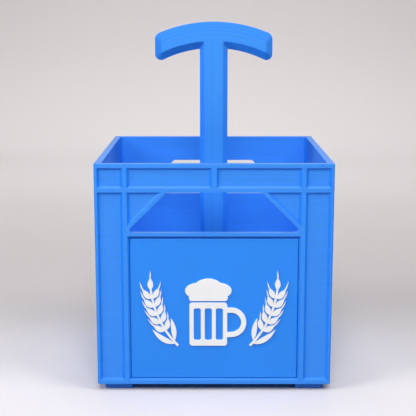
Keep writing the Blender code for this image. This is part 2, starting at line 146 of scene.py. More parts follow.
# Finish of the steel: fine turning marks
SCREW_ROUGHNESS = 0.3
ZINC_ROUGHNESS = 0.35
TURNING_SCALE = 6000.0
STAIN_SCALE = 500.0
STAIN_TONES = (0.88, 1.06)
STEEL_ROUGHNESS_CHANGE = (-0.1, 0.12)

# Raised sign on the plate
SIGN_HEIGHT = 0.0009
SIGN_SINK = 0.00006
SIGN_EDGE = 0.00018
SIGN_EDGE_SEGMENTS = 2
STRIP_STEPS = 36

# Tankard in the middle of the sign
TANKARD_MIDDLE = -0.0035
TANKARD_LOW = -0.0232
TANKARD_HEIGHT = 0.0275
TANKARD_WALL = 0.0026
TANKARD_RIB = 0.0024
TANKARD_SLOT = 0.0044
TANKARD_SLOTS = 3
TANKARD_BASE = 0.0036
TANKARD_CORNER = 0.0018
TANKARD_SLOT_CORNER = 0.0011
TANKARD_WIDTH = 2 * TANKARD_WALL + (TANKARD_SLOTS - 1) * TANKARD_RIB + TANKARD_SLOTS * TANKARD_SLOT
CORNER_STEPS = 5
TANKARD_EAR_RADIUS = 0.0078
TANKARD_EAR_WIDTH = 0.0031
TANKARD_EAR_DROP = 0.0048

# Foam on the tankard
FOAM_WIDTH = 0.0292
FOAM_HEIGHT = 0.0175
FOAM_BUMPS = 5
FOAM_BUMP_SHARE = 0.17
FOAM_FLAT_SHARE = 0.3
FOAM_GAP = 0.0011
FOAM_STEPS = 120

# Barley on both sides of the tankard
BARLEY_PLACE = (0.0222, -0.0232)
BARLEY_LEAN = math.radians(44)
BARLEY_RADIUS = 0.06
KERNEL_PAIRS = 5
KERNEL_PITCH = 0.0055
KERNEL_START = 0.0125
KERNEL_LENGTH = 0.0076
KERNEL_WIDTH = 0.0034
KERNEL_LEAN = math.radians(46)
KERNEL_RADIUS = 0.02
OVAL_SKEW = 0.82
STEM_WIDTH = 0.0013
STEM_LENGTH = KERNEL_START + KERNEL_PAIRS * KERNEL_PITCH
BRISTLE_LENGTH = 0.0048
BRISTLE_WIDTH = 0.00075
BRISTLE_TIP_SHARE = 0.25
LEAF_LENGTH = 0.0155
LEAF_WIDTH = 0.0031
LEAF_LEAN = math.radians(38)
LEAF_RADIUS = 0.03
LEFT_LEAF_START = 0.0038
RIGHT_LEAF_START = 0.0025

# Screw, washer and nut
ROUND_STEPS = 72
SCREW_CORE_RADIUS = 0.0021
THREAD_PITCH = 0.0008
THREAD_CREST_RADIUS = 0.00234
THREAD_SINK = 0.00003
THREAD_LENGTH = 0.0148
THREAD_TURN_STEPS = 32
NUT_WIDTH = 0.008
NUT_BORE_RADIUS = 0.0024
NUT_FACE_RADIUS = 0.0038
NUT_CHAMFER_SLOPE = math.tan(math.radians(30))
WASHER_BORE_RADIUS = 0.00265

# Stage: a pale sweep, with painted light and shade set by how far back and up it has run
STAGE_HALF = 3.0
STAGE_BACK = 0.95
STAGE_CURVE = 0.35
STAGE_TOP = 2.0
STAGE_STEPS = 24
STAGE_ROUGHNESS = 0.9
STAGE_BOUNCE = (0.40, 0.40, 0.41)
STAGE_PAINTED_LIGHT = (
    (-0.10, (0.69, 0.66, 0.67)),
    (-0.02, (0.66, 0.63, 0.64)),
    (0.16, (0.51, 0.48, 0.48)),
    (0.60, (0.71, 0.67, 0.67)),
    (1.00, (0.79, 0.75, 0.75)),
    (1.35, (0.71, 0.67, 0.67)),
    (1.60, (0.63, 0.60, 0.60)),
)

# Haze beside and in front of the stage, and above the horizon
HAZE_TONE = (0.60, 0.57, 0.59)
HAZE_START = 0.5
HAZE_FULL = 1.5
HAZE_LOW = 0.25
HAZE_HIGH = 0.6

# Light; a soft box has its degrees round and above the crate, its distance, its size and its watts
ROOM_WHITE = (1.0, 1.0, 1.0)
ROOM_LIGHT = 0.01
LIGHT_AIM = (0.0, 0.0, 0.1)
SOFT_BOXES = (
    ("left_box", -60, 32, 1.3, 0.6, 8.6),
    ("front_box", 0, 42, 1.5, 0.6, 11.4),
    ("right_box", 60, 50, 1.5, 0.7, 8.6),
    ("top_box", 0, 88, 1.5, 0.7, 7.0),
    ("back_box", 180, 40, 1.2, 0.6, 2.0),
)
BACKDROP_LAMP = (0.0, 0.55, 1.5)
BACKDROP_AIM = (0.0, STAGE_BACK + STAGE_CURVE, 1.5)
BACKDROP_SIZE = 1.2
BACKDROP_POWER = 12.0

# Camera
CAMERA_PLACE = (-0.00323, -0.66343, 0.22784)
CAMERA_PITCH = math.radians(79.287)
CAMERA_YAW = math.radians(0.046)
CAMERA_LENS = 86.45
SENSOR_WIDTH = 36.0


def link(item):
    """Puts a new object into the scene."""
    bpy.context.scene.collection.objects.link(item)
    return item


def object_from(name, body, material):
    """Turns a bmesh into an object with one surface."""
    mesh = bpy.data.meshes.new(name)
    body.to_mesh(mesh)
    body.free()
    mesh.materials.append(material)
    return link(bpy.data.objects.new(name, mesh))


def piece_from(name, body, material):
    """Turns a bmesh into a piece of the crate."""
    piece = object_from(name, body, material)
    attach(piece, "root")
    return piece


def stand_in(node, name, body, material, step_angle=EDGE_ANGLE):
    """Puts a shape in the place of a node, smooth but for its sharp edges and the edges of its steps."""
    slope_mark = body.faces.layers.int.get(SLOPE_MARK)
    for face in body.faces:
        face.smooth = True
    for edge in body.edges:
        stepped = slope_mark and any(face[slope_mark] for face in edge.link_faces)
        edge.smooth = edge.calc_face_angle(0) < (step_angle if stepped else EDGE_ANGLE)
    piece = piece_from(name, body, material)
    # The slope marks and the normals of the node's old triangles have no more use
    for left_over in ("custom_normal", SLOPE_MARK):
        if left_over in piece.data.attributes:
            piece.data.attributes.remove(piece.data.attributes[left_over])
    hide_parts(node)
    return piece


def soften(piece, width):
    """Rounds the sharp edges of a piece."""
    bevel = piece.modifiers.new("soft_edges", "BEVEL")
    bevel.width = width
    bevel.segments = EDGE_SEGMENTS
    bevel.limit_method = "ANGLE"
    bevel.angle_limit = EDGE_ANGLE
    bevel.harden_normals = True


def merged_copy(node):
    """A node's own shape, with its loose triangles joined into whole flat faces."""
    body = bmesh.new()
    body.from_mesh(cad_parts[node].data)
    bmesh.ops.remove_doubles(body, verts=body.verts, dist=MERGE_DISTANCE)
    bmesh.ops.dissolve_limit(body, angle_limit=FLAT_ANGLE, verts=body.verts, edges=body.edges)
    return body


def reach(face, axis):
    """Lowest and highest place of a face along an axis."""
    places = [vert.co[axis] for vert in face.verts]
    return min(places), max(places)


def on_ridge(face, slopes, axis):
    """Whether a slope meets another along a level ridge or groove, where steps would fold flat."""
    for edge in face.edges:
        level = edge.verts[0].co[axis]
        if abs(edge.verts[1].co[axis] - level) < LEVEL_GAP:
            sides = [reach(other, axis) for other in edge.link_faces if other in slopes]
            below = [low < level - LEVEL_GAP for low, high in sides]
            if len(sides) == 2 and below[0] == below[1]:
                return True
    return False


def slopes_of(body, axis):
    """Faces that a print, built up along the axis, can only follow in steps."""
    slopes = set()
    for face in body.faces:
        low, high = reach(face, axis)
        if SLOPE_LOW < abs(face.normal[axis]) < SLOPE_HIGH and high - low > STEPPED_HEIGHT:
            slopes.add(face)
    return [face for face in slopes if not on_ridge(face, slopes, axis)]


def layer_levels(slopes, axis):
    """Places along the axis where the layers of the slopes meet."""
    corners = sorted(vert.co[axis] for face in slopes for vert in face.verts)
    marks = [corners[0]]
    for place in corners:
        if place - marks[-1] > LEVEL_GAP:
            marks.append(place)
    levels = []
    for low, high in zip(marks, marks[1:]):
        count = max(1, round((high - low) / LAYER_HEIGHT))
        levels += [low + (high - low) * step / count for step in range(1, count + 1)]
    return levels


def cut_into_layers(body, slope_mark, axis):
    """Cuts every marked slope where its layers meet."""
    upright = Vector([float(place == axis) for place in range(3)])
    slopes = [face for face in body.faces if face[slope_mark]]
    for level in layer_levels(slopes, axis):
        crossing = []
        for face in body.faces:
            if face[slope_mark]:
                low, high = reach(face, axis)
                if low < level - LEVEL_GAP and high > level + LEVEL_GAP:
                    crossing.append(face)
        edges = {edge for face in crossing for edge in face.edges}
        verts = {vert for face in crossing for vert in face.verts}
        if crossing:
            bmesh.ops.bisect_plane(
                body,
                geom=crossing + list(edges) + list(verts),
                dist=CUT_DISTANCE,
                plane_co=upright * level,
                plane_no=upright,
            )


def step_edge(edge, axis, bead_share):
    """Gives a leaning edge the corner points of one step, drawn in as a laid bead is round."""
    low, high = sorted(edge.verts, key=lambda vert: vert.co[axis])
    run = high.co - low.co
    rise = run[axis]
    run[axis] = 0
    if rise < LEVEL_GAP or run.length < LEVEL_GAP:
        return None
    middle = (low.co + high.co) / 2
    riser_top, tread_end = low.co.copy(), high.co.copy()
    riser_top[axis] = tread_end[axis] = middle[axis]
    first = bmesh.utils.edge_split(edge, low, 0.5)[1]
    rest = next(item for item in first.link_edges if high in item.verts)
    second = bmesh.utils.edge_split(rest, first, 0.5)[1]
    first.co, second.co = riser_top.lerp(middle, bead_share), tread_end.lerp(middle, bead_share)
    return first, second


def part_step(layer, firsts, seconds):
    """Parts one layer of a slope at the corners of its step."""
    for corners in (firsts, seconds):
        pair = [vert for vert in layer.verts if vert in corners]
        if len(pair) == 2:
            made = bmesh.utils.face_split(layer, *pair)[0]
            layer = max((layer, made), key=lambda part: sum(vert in seconds for vert in part.verts))


def step_slopes(body, axis, bead_share):
    """Turns the slopes of a print into the risers and treads of its layers, built up along an axis."""
    slope_mark = body.faces.layers.int.new(SLOPE_MARK)
    for face in slopes_of(body, axis):
        face[slope_mark] = 1
    cut_into_layers(body, slope_mark, axis)
    layers = [face for face in body.faces if face[slope_mark]]
    firsts, seconds = set(), set()
    for edge in {edge for layer in layers for edge in layer.edges}:
        corners = step_edge(edge, axis, bead_share)
        if corners:
            firsts.add(corners[0])
            seconds.add(corners[1])
    for layer in layers:
        part_step(layer, firsts, seconds)
    bmesh.ops.remove_doubles(body, verts=body.verts, dist=CUT_DISTANCE)
    body.normal_update()


def mark_faces(body):
    """Marks level tops for their rings and painted shade, and leaning upright sides and slopes that look down
    for painted shade.
    """
    level = body.faces.layers.float.new(LEVEL_MARK)
    leaning = body.faces.layers.float.new(LEAN_SHADE_MARK)
    under = body.faces.layers.float.new(UNDER_SHADE_MARK)
    for face in body.faces:
        across, along, up = (abs(part) for part in face.normal)
        between_walls = LEAN_LOW < min(across, along) and max(across, along) < LEAN_HIGH
        downwards = max(0.0, -face.normal.z)
        face[level] = float(face.normal.z > LEVEL_FACING)
        face[leaning] = float(up < LEAN_LOW and between_walls)
        face[under] = min(1.0, downwards / UNDER_FULL) if downwards < UNDER_HIGH else 0.0


def printed_copy(node, axis, bead_share=0.0):
    """A node's own shape as it comes off the printer, with stepped slopes and marked faces."""
    body = merged_copy(node)
    mark_faces(body)
    step_slopes(body, axis, bead_share)
    return body


def solid(colour):
    """A colour as a shader's socket holds it."""
    return (*colour, 1.0)


class Shading:
    """A tree of nodes round one shader, with small helpers that add and join nodes."""

    def __init__(self, tree, shader, output):
        self.nodes = tree.nodes
        self.links = tree.links
        self.shader = self.nodes[shader]
        self.output = self.nodes[output]

    def add(self, kind, **settings):
        """Adds a node and sets its properties."""
        node = self.nodes.new(kind)
        for key, value in settings.items():
            setattr(node, key, value)
        return node

    def feed(self, socket, value):
        """Joins an output to an input, or sets the input to a plain value."""
        if isinstance(value, bpy.types.NodeSocket):
            self.links.new(value, socket)
        else:
            socket.default_value = value

    def math(self, operation, first, second=0.0):
        """One sum on two values."""
        node = self.add("ShaderNodeMath", operation=operation)
        self.feed(node.inputs[0], first)
        self.feed(node.inputs[1], second)
        return node.outputs[0]

    def product(self, first, *others):
        """Several values multiplied."""
        for other in others:
            first = self.math("MULTIPLY", first, other)
        return first

    def largest(self, first, *others):
        """The largest of several values."""
        for other in others:
            first = self.math("MAXIMUM", first, other)
        return first

    def distance(self, across, up):
        """Distance from the middle of a plane."""
        squares = self.math("ADD", self.product(across, across), self.product(up, up))
        return self.math("SQRT", squares)

    def between(self, value, low, high):
        """A smooth rise from 0 at one value to 1 at another."""
        node = self.add("ShaderNodeMapRange", interpolation_type="SMOOTHSTEP")
        self.feed(node.inputs["Value"], value)
        node.inputs["From Min"].default_value = low
        node.inputs["From Max"].default_value = high
        return node.outputs[0]

    def spread(self, value, low, high):
        """Moves a value from 0..1 to low..high."""
        node = self.add("ShaderNodeMapRange")
        self.feed(node.inputs["Value"], value)
        node.inputs["To Min"].default_value = low
        node.inputs["To Max"].default_value = high
        return node.outputs[0]

    def parts(self, place):
        """A place's three measures, along x, y and z."""
        node = self.add("ShaderNodeSeparateXYZ")
        self.feed(node.inputs[0], place)
        return list(node.outputs)

    def seen(self):
        """1 where a surface is looked at, straight or in a reflection, and 0 where it only lights others."""
        rays = self.add("ShaderNodeLightPath")
        ways = ("Is Camera Ray", "Is Glossy Ray", "Is Transmission Ray")
        return self.largest(*(rays.outputs[way] for way in ways))

    def fade(self, share, other):
        """Lets the shader go over into another one."""
        mix = self.add("ShaderNodeMixShader")
        self.feed(mix.inputs[0], share)
        self.feed(mix.inputs[1], self.shader.outputs[0])
        self.feed(mix.inputs[2], other.outputs[0])
        self.feed(self.output.inputs["Surface"], mix.outputs[0])


class Surface(Shading):
    """A Principled material."""

    def __init__(self, name, colour, roughness, metallic=0.0):
        self.material = bpy.data.materials.new(name)
        self.material.use_nodes = True
        super().__init__(self.material.node_tree, "Principled BSDF", "Material Output")
        self.shader.inputs["Base Color"].default_value = solid(colour)
        self.shader.inputs["Roughness"].default_value = roughness
        self.shader.inputs["Metallic"].default_value = metallic

    def place(self):
        """The point's place in the object's own frame."""
        return self.add("ShaderNodeTexCoord").outputs["Object"]

    def mark(self, name):
        """How strongly the faces of the piece carry a mark, from 0 to 1."""
        return self.add("ShaderNodeAttribute", attribute_name=name).outputs["Fac"]

    def stretched(self, place, scale, turn=(0.0, 0.0, 0.0)):
        """The place, turned and scaled apart on each axis."""
        node = self.add("ShaderNodeMapping")
        self.feed(node.inputs["Vector"], place)
        node.inputs["Scale"].default_value = scale
        node.inputs["Rotation"].default_value = turn
        return node.outputs[0]

    def noise(self, place, scale, detail=PLAIN_DETAIL):
        """Cloudy noise from 0 to 1."""
        node = self.add("ShaderNodeTexNoise")
        self.feed(node.inputs["Vector"], place)
        node.inputs["Scale"].default_value = scale
        node.inputs["Detail"].default_value = detail
        return node.outputs["Fac"]

    def lines(self, across, scale):
        """Uneven lines side by side, from 0 to 1, along one measure."""
        node = self.add("ShaderNodeTexNoise", noise_dimensions="1D")
        self.feed(node.inputs["W"], across)
        node.inputs["Scale"].default_value = scale
        node.inputs["Detail"].default_value = RICH_DETAIL
        return node.outputs["Fac"]

    def blend(self, share, first, second):
        """A mix of two values."""
        node = self.add("ShaderNodeMix", data_type="FLOAT")
        self.feed(node.inputs["Factor"], share)
        self.feed(node.inputs["A"], first)
        self.feed(node.inputs["B"], second)
        return node.outputs["Result"]

    def blend_colours(self, share, first, second):
        """A mix of two colours."""
        node = self.add("ShaderNodeMix", data_type="RGBA")
        self.feed(node.inputs["Factor"], share)
        self.feed(node.inputs["A"], first)
        self.feed(node.inputs["B"], second)
        return node.outputs["Result"]

    def tone(self, colour, strength):
        """Paints the surface with a colour made lighter or darker by a factor."""
        node = self.add("ShaderNodeVectorMath", operation="SCALE")
        self.feed(node.inputs[0], colour)
        self.feed(node.inputs["Scale"], strength)
        self.feed(self.shader.inputs["Base Color"], node.outputs[0])

    def vary_roughness(self, field, change):
        """Moves the roughness below and above its own value by a field from 0 to 1."""
        socket = self.shader.inputs["Roughness"]
        low, high = (socket.default_value + part for part in change)
        self.feed(socket, self.spread(field, low, high))

    def bump(self, height, distance):
        """Raises the surface by a height field, on top of any bump made before."""
        node = self.add("ShaderNodeBump")
        node.inputs["Distance"].default_value = distance
        self.feed(node.inputs["Height"], height)
        normal = self.shader.inputs["Normal"]
        if normal.links:
            self.links.new(normal.links[0].from_socket, node.inputs["Normal"])
        self.links.new(node.outputs[0], normal)


class Room(Shading):
    """The room round the stage."""

    def __init__(self, name):
        self.world = bpy.data.worlds.new(name)
        self.world.use_nodes = True
        super().__init__(self.world.node_tree, "Background", "World Output")

    def direction(self):
        """The direction of each ray, as a point round the middle."""
        return self.add("ShaderNodeTexCoord").outputs["Generated"]


def crate_plastic():
    """Plastic laid down in thin level layers, with slow changes from layer to layer."""
    surface = Surface("crate_print", CRATE_BLUE, PRINT_ROUGHNESS)
    place = surface.place()
    across, along, up = surface.parts(place)
    bands = surface.noise(surface.stretched(place, BAND_STRETCH), BAND_SCALE, RICH_DETAIL)
    grain = surface.noise(place, GRAIN_SCALE)
    walls = surface.product(surface.spread(bands, *BAND_TONES), surface.spread(grain, *GRAIN_TONES))
    off_middle = surface.largest(surface.math("ABSOLUTE", across), surface.math("ABSOLUTE", along))
    rings = surface.lines(off_middle, RING_SCALE)
    on_top = surface.mark(LEVEL_MARK)
    # Painted shade: leaning sides and slopes that look down take a deeper blue
    painted_shade = surface.largest(surface.mark(LEAN_SHADE_MARK), surface.mark(UNDER_SHADE_MARK))
    blue = surface.blend_colours(painted_shade, solid(CRATE_BLUE), solid(PAINTED_SHADE_CRATE_BLUE))
    # Level tops: rings of tracks, darkened as a whole as painted shade
    surface.tone(blue, surface.blend(on_top, walls, surface.spread(rings, *RING_AND_SHADE_TONES)))
    surface.vary_roughness(surface.blend(on_top, bands, rings), CRATE_ROUGHNESS_CHANGE)
    bead = surface.math("ABSOLUTE", surface.math("SINE", surface.product(up, math.pi / LAYER_HEIGHT)))
    surface.bump(bead, BEAD_DEPTH)
    surface.bump(bands, BAND_DEPTH)
    surface.bump(grain, GRAIN_DEPTH)
    return surface.material


def handle_painted_shade(surface, across, radius):
    """Paints shade into the crease under the grip's top bevel and onto the sloping ends beyond their mitres.
    """
    top_crease = GRIP_CURVE_RADIUS - TOP_BEVEL_WIDTH
    underside_crease = GRIP_CURVE_RADIUS - GRIP_DEPTH + UNDERSIDE_BEVEL_WIDTH
    end_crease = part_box("handle")[1][0] - END_BEVEL_WIDTH
    over = surface.math("SUBTRACT", radius, top_crease)
    under = surface.math("SUBTRACT", underside_crease, radius)
    past_end = surface.math("SUBTRACT", surface.math("ABSOLUTE", across), end_crease)
    off_crease = surface.largest(surface.math("ABSOLUTE", over), past_end)
    crease = surface.spread(surface.between(off_crease, 0.0, CREASE_WIDTH), CREASE_SHADE, 1.0)
    past_mitre = surface.math("SUBTRACT", past_end, surface.largest(over, under, 0.0))
    sloping_end = surface.spread(surface.between(past_mitre, 0.0, END_BLEND), 1.0, END_SHADE)
    return surface.product(crease, sloping_end)


def handle_plastic():
    """The handle's plastic, laid in tracks that follow its outline, and in layers on its sloping edges."""
    surface = Surface("handle_print", HANDLE_BLUE, PRINT_ROUGHNESS)
    across, along, up = surface.parts(surface.place())
    curve_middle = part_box("handle")[1][2] - GRIP_CURVE_RADIUS
    radius = surface.distance(across, surface.math("SUBTRACT", up, curve_middle))
    inner = GRIP_CURVE_RADIUS - GRIP_TRACKS_DEPTH
    on_grip = surface.between(radius, inner - TRACK_BLEND, inner + TRACK_BLEND)
    grip_tracks = surface.lines(radius, TRACK_SCALE)
    post_tracks = surface.lines(across, TRACK_SCALE)
    tracks = surface.blend(on_grip, post_tracks, grip_tracks)
    layers = surface.lines(along, HANDLE_LAYER_SCALE)
    # Tracks and layers vary at random; the crease and the sloping ends get painted shade
    drawn = surface.product(
        surface.spread(tracks, *TRACK_TONES),
        surface.spread(layers, *HANDLE_LAYER_TONES),
        handle_painted_shade(surface, across, radius),
    )
    # Painted shade: undersides, and leaning sides at half strength, take a deeper blue
    leaning = surface.product(surface.mark(LEAN_SHADE_MARK), HANDLE_LEAN_SHADE_SHARE)
    painted_shade = surface.largest(surface.mark(UNDER_SHADE_MARK), leaning)
    surface.tone(surface.blend_colours(painted_shade, solid(HANDLE_BLUE), solid(PAINTED_SHADE_HANDLE_BLUE)), drawn)
    surface.vary_roughness(tracks, HANDLE_ROUGHNESS_CHANGE)
    surface.bump(tracks, TRACK_DEPTH)
    surface.bump(layers, BEAD_DEPTH)
    return surface.material


def flat_plastic(name, colour, roughness):
    """Plastic with fine slanted tracks side by side, as on a flat top or against the bed."""
    surface = Surface(name, colour, roughness)
    place = surface.place()
    lines = surface.noise(surface.stretched(place, SLANT_STRETCH, SLANT_TURN), SLANT_SCALE)
    shades = surface.noise(place, SHADE_SCALE, RICH_DETAIL)
    surface.tone(colour, surface.spread(shades, *SHADE_TONES))
    surface.vary_roughness(lines, FLAT_ROUGHNESS_CHANGE)
    surface.bump(lines, BEAD_DEPTH)
    return surface.material


def steel(name, colour, roughness):
    """Turned and plated steel with fine circular marks about the z axis."""
    surface = Surface(name, colour, roughness, 1.0)
    place = surface.place()
    across, along, up = surface.parts(place)
    ring = surface.add("ShaderNodeCombineXYZ")
    surface.feed(ring.inputs["X"], surface.distance(across, along))
    surface.feed(ring.inputs["Z"], up)
    marks = surface.noise(ring.outputs[0], TURNING_SCALE, RICH_DETAIL)
    stains = surface.noise(place, STAIN_SCALE, RICH_DETAIL)
    surface.tone(colour, surface.spread(stains, *STAIN_TONES))
    surface.vary_roughness(marks, STEEL_ROUGHNESS_CHANGE)
    surface.bump(marks, BEAD_DEPTH)
    return surface.material


def build_crate():
    """The box, stepped up its height."""
    body = printed_copy("crate_body", Z_AXIS, CRATE_BEAD_SHARE)
    stand_in("crate_body", "crate_shell", body, crate_plastic(), STEP_ANGLE)


def build_handle():
    """The handle, which is printed on its back and so stepped through its thickness."""
    body = printed_copy("handle", Y_AXIS)
    stand_in("handle", "carry_handle", body, handle_plastic())


def build_plate():
    """The sign's plate, with soft edges."""
    surface = flat_plastic("plate_print", PLATE_BLUE, PLATE_ROUGHNESS)
    plate = stand_in("sign_plate", "front_plate", merged_copy("sign_plate"), surface)
    soften(plate, PLATE_EDGE)


def strip(length, half_width_at):
    """A flat strip up the y axis from the origin, with its own width at every step."""
    body = bmesh.new()
    bmesh.ops.create_grid(body, x_segments=1, y_segments=STRIP_STEPS, size=UNIT_HALF)
    for vert in body.verts:
        share = vert.co.y + UNIT_HALF
        side = math.copysign(1, vert.co.x)
        vert.co = Vector((side * half_width_at(share), share * length, 0))
    bmesh.ops.remove_doubles(body, verts=body.verts, dist=MERGE_DISTANCE)
    return body


def bend(body, lean, radius):
    """Curves a strip that leaves the y axis at a lean back towards it, or away for a radius below 0."""
    for vert in body.verts:
        across = vert.co.x
        angle = lean - vert.co.y / radius
        middle_x = radius * (math.cos(angle) - math.cos(lean))
        middle_y = radius * (math.sin(lean) - math.sin(angle))
        vert.co.x = middle_x + across * math.cos(angle)
        vert.co.y = middle_y - across * math.sin(angle)


def shift(body, across, up):
    """Moves a flat shape in its plane."""
    bmesh.ops.translate(body, verts=body.verts, vec=(across, up, 0))


def turn(body, angle, axis):
    """Turns a shape about an axis through the origin."""
    bmesh.ops.rotate(body, verts=body.verts, cent=(0, 0, 0), matrix=Matrix.Rotation(angle, 3, axis))


def join(target, part):
    """Adds one bmesh to another and lets the first go."""
    mesh = bpy.data.meshes.new("part")
    part.to_mesh(mesh)
    part.free()
    target.from_mesh(mesh)
    bpy.data.meshes.remove(mesh)


def mirror_image(body):
    """The same flat shape on the other side of the y axis."""
    twin = body.copy()
    bmesh.ops.scale(twin, verts=twin.verts, vec=(-1, 1, 1))
    bmesh.ops.reverse_faces(twin, faces=twin.faces)
    return twin


def pointed(share):
    """Half-width of a pointed oval, fullest below its middle, as a share of the greatest half-width."""
    return math.sin(math.pi * max(0.0, min(1.0, share)) ** OVAL_SKEW)


def kernel_shape():
    """One barley kernel with its bristle."""
    length = KERNEL_LENGTH + BRISTLE_LENGTH
    grain_share = KERNEL_LENGTH / length

    def half_width(share):
        grain = KERNEL_WIDTH / 2 * pointed(share / grain_share)
        if share < grain_share / 2:
            return grain
        return max(grain, BRISTLE_WIDTH / 2 * min(1.0, (1 - share) / BRISTLE_TIP_SHARE))

    return strip(length, half_width)


def leaf_shape(start):
    """One long leaf on the right of the stem."""
    leaf = strip(LEAF_LENGTH, lambda share: LEAF_WIDTH / 2 * pointed(share))
    bend(leaf, LEAF_LEAN, LEAF_RADIUS)
    shift(leaf, STEM_WIDTH / 2, start)
    return leaf


def barley_ear():
    """An ear of barley with two leaves on a bent stem."""
    ear = strip(STEM_LENGTH, lambda share: STEM_WIDTH / 2)
    for pair in range(KERNEL_PAIRS):
        kernel = kernel_shape()
        bend(kernel, KERNEL_LEAN, KERNEL_RADIUS)
        shift(kernel, STEM_WIDTH / 2, KERNEL_START + pair * KERNEL_PITCH)
        join(ear, mirror_image(kernel))
        join(ear, kernel)
    top = kernel_shape()
    shift(top, 0, STEM_LENGTH)
    join(ear, top)
    join(ear, leaf_shape(RIGHT_LEAF_START))
    join(ear, mirror_image(leaf_shape(LEFT_LEAF_START)))
    bend(ear, BARLEY_LEAN, BARLEY_RADIUS)
    shift(ear, *BARLEY_PLACE)
    return ear


def tankard_grid():
    """The places across and up the tankard where its bars, slots and bands meet."""
    bars = [TANKARD_RIB] * (TANKARD_SLOTS - 1) + [TANKARD_WALL]
    across_steps = [-TANKARD_WIDTH / 2, TANKARD_WALL]
    for bar in bars:
        across_steps += [TANKARD_SLOT, bar]
    up_steps = [0, TANKARD_BASE, TANKARD_HEIGHT - 2 * TANKARD_BASE, TANKARD_BASE]
    return list(accumulate(across_steps)), list(accumulate(up_steps))


def tankard_glass():
    """The tankard's body: upright bars between tall rounded slots."""
    across, up = tankard_grid()
    columns, rows = len(across) - 1, len(up) - 1
    body = bmesh.new()
    bmesh.ops.create_grid(body, x_segments=columns, y_segments=rows, size=UNIT_HALF)
    slots = []
    for face in body.faces:
        middle = face.calc_center_median()
        column = math.floor((middle.x + UNIT_HALF) * columns)
        row = math.floor((middle.y + UNIT_HALF) * rows)
        if row == 1 and column % 2 == 1:
            slots.append(face)
    outer_corners = []
    for vert in body.verts:
        column = round((vert.co.x + UNIT_HALF) * columns)
        row = round((vert.co.y + UNIT_HALF) * rows)
        if column in (0, columns) and row in (0, rows):
            outer_corners.append(vert)
        vert.co = Vector((across[column], up[row], 0))
    slot_corners = list({vert for face in slots for vert in face.verts})
    rounding = {"segments": CORNER_STEPS, "affect": "VERTICES", "profile": 0.5, "material": -1}
    bmesh.ops.bevel(body, geom=outer_corners, offset=TANKARD_CORNER, **rounding)
    bmesh.ops.bevel(body, geom=slot_corners, offset=TANKARD_SLOT_CORNER, **rounding)
    holes = []
    for face in body.faces:
        low, high = reach(face, Y_AXIS)
        if high - low > TANKARD_HEIGHT / 2 and face.calc_area() > TANKARD_SLOT * TANKARD_HEIGHT / 2:
            holes.append(face)
    bmesh.ops.delete(body, geom=holes, context="FACES_ONLY")
    return body


def tankard_ear():
    """The ear of the tankard: half a ring between two short arms."""
    arm_length = TANKARD_EAR_DROP / 2
    ring = strip(math.pi * TANKARD_EAR_RADIUS, lambda share: TANKARD_EAR_WIDTH / 2)
    bend(ring, math.pi / 2, -TANKARD_EAR_RADIUS)
    upper = TANKARD_HEIGHT - TANKARD_EAR_DROP
    shift(ring, TANKARD_WIDTH / 2 + arm_length, upper)
    for height in (upper, upper - 2 * TANKARD_EAR_RADIUS):
        arm = strip(arm_length, lambda share: TANKARD_EAR_WIDTH / 2)
        turn(arm, -math.pi / 2, "Z")
        shift(arm, TANKARD_WIDTH / 2, height)
        join(ring, arm)
    bmesh.ops.remove_doubles(ring, verts=ring.verts, dist=JOINT_DISTANCE)
    return ring


def foam_head():
    """The foam: a scalloped oval with a level underside."""
    body = bmesh.new()
    bmesh.ops.create_circle(body, cap_ends=True, segments=FOAM_STEPS, radius=UNIT_HALF)
    floor = -FOAM_FLAT_SHARE * FOAM_HEIGHT
    for vert in body.verts:
        from_top = math.atan2(vert.co.y, vert.co.x) - math.pi / 2
        swell = (1 + FOAM_BUMP_SHARE * abs(math.cos(FOAM_BUMPS * from_top / 2))) / (1 + FOAM_BUMP_SHARE)
        vert.co.x *= FOAM_WIDTH * swell
        vert.co.y = max(vert.co.y * FOAM_HEIGHT * swell, floor)
    shift(body, 0, TANKARD_HEIGHT + FOAM_GAP - floor)
    return body


def raise_relief(body):
    """Gives flat faces their thickness and rounds the upper edges."""
    grown = bmesh.ops.extrude_face_region(body, geom=list(body.faces))
    top = [item for item in grown["geom"] if isinstance(item, bmesh.types.BMVert)]
    bmesh.ops.translate(body, verts=top, vec=(0, 0, SIGN_HEIGHT + SIGN_SINK))
    bmesh.ops.recalc_face_normals(body, faces=body.faces)
    upper = []
    for edge in body.edges:
        if all(vert.co.z > SIGN_HEIGHT / 2 for vert in edge.verts) and edge.calc_face_angle(0) > EDGE_ANGLE:
            upper.append(edge)
    bmesh.ops.bevel(
        body,
        geom=upper,
        offset=SIGN_EDGE,
        segments=SIGN_EDGE_SEGMENTS,
        affect="EDGES",
        profile=0.5,
        material=-1,
        clamp_overlap=True,
    )


def build_sign():
    """The raised white sign: a tankard between two ears of barley."""
    sign = bmesh.new()
    for make in (tankard_glass, tankard_ear, foam_head):
        shape = make()
        shift(shape, TANKARD_MIDDLE, TANKARD_LOW)
        join(sign, shape)
    ear = barley_ear()
    join(sign, mirror_image(ear))
    join(sign, ear)
    raise_relief(sign)
    low, high = (Vector(corner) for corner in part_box("sign_plate"))
    middle = (low + high) / 2
    turn(sign, math.pi / 2, "X")
    bmesh.ops.translate(sign, verts=sign.verts, vec=(middle.x, low.y + SIGN_SINK, middle.z))
    piece_from("sign_relief", sign, flat_plastic("white_print", SIGN_WHITE, PRINT_ROUGHNESS))


def hexagon_radius(angle, width):
    """Distance from the middle of a hexagon to its outline, with two flats square to the x axis."""
    sixth = math.pi / 3
    return width / 2 / math.cos(angle - sixth * round(angle / sixth))


def at(value, angle):
    """A radius or height at an angle round the z axis, whether it is the same all round or a function."""
    return value(angle) if callable(value) else value


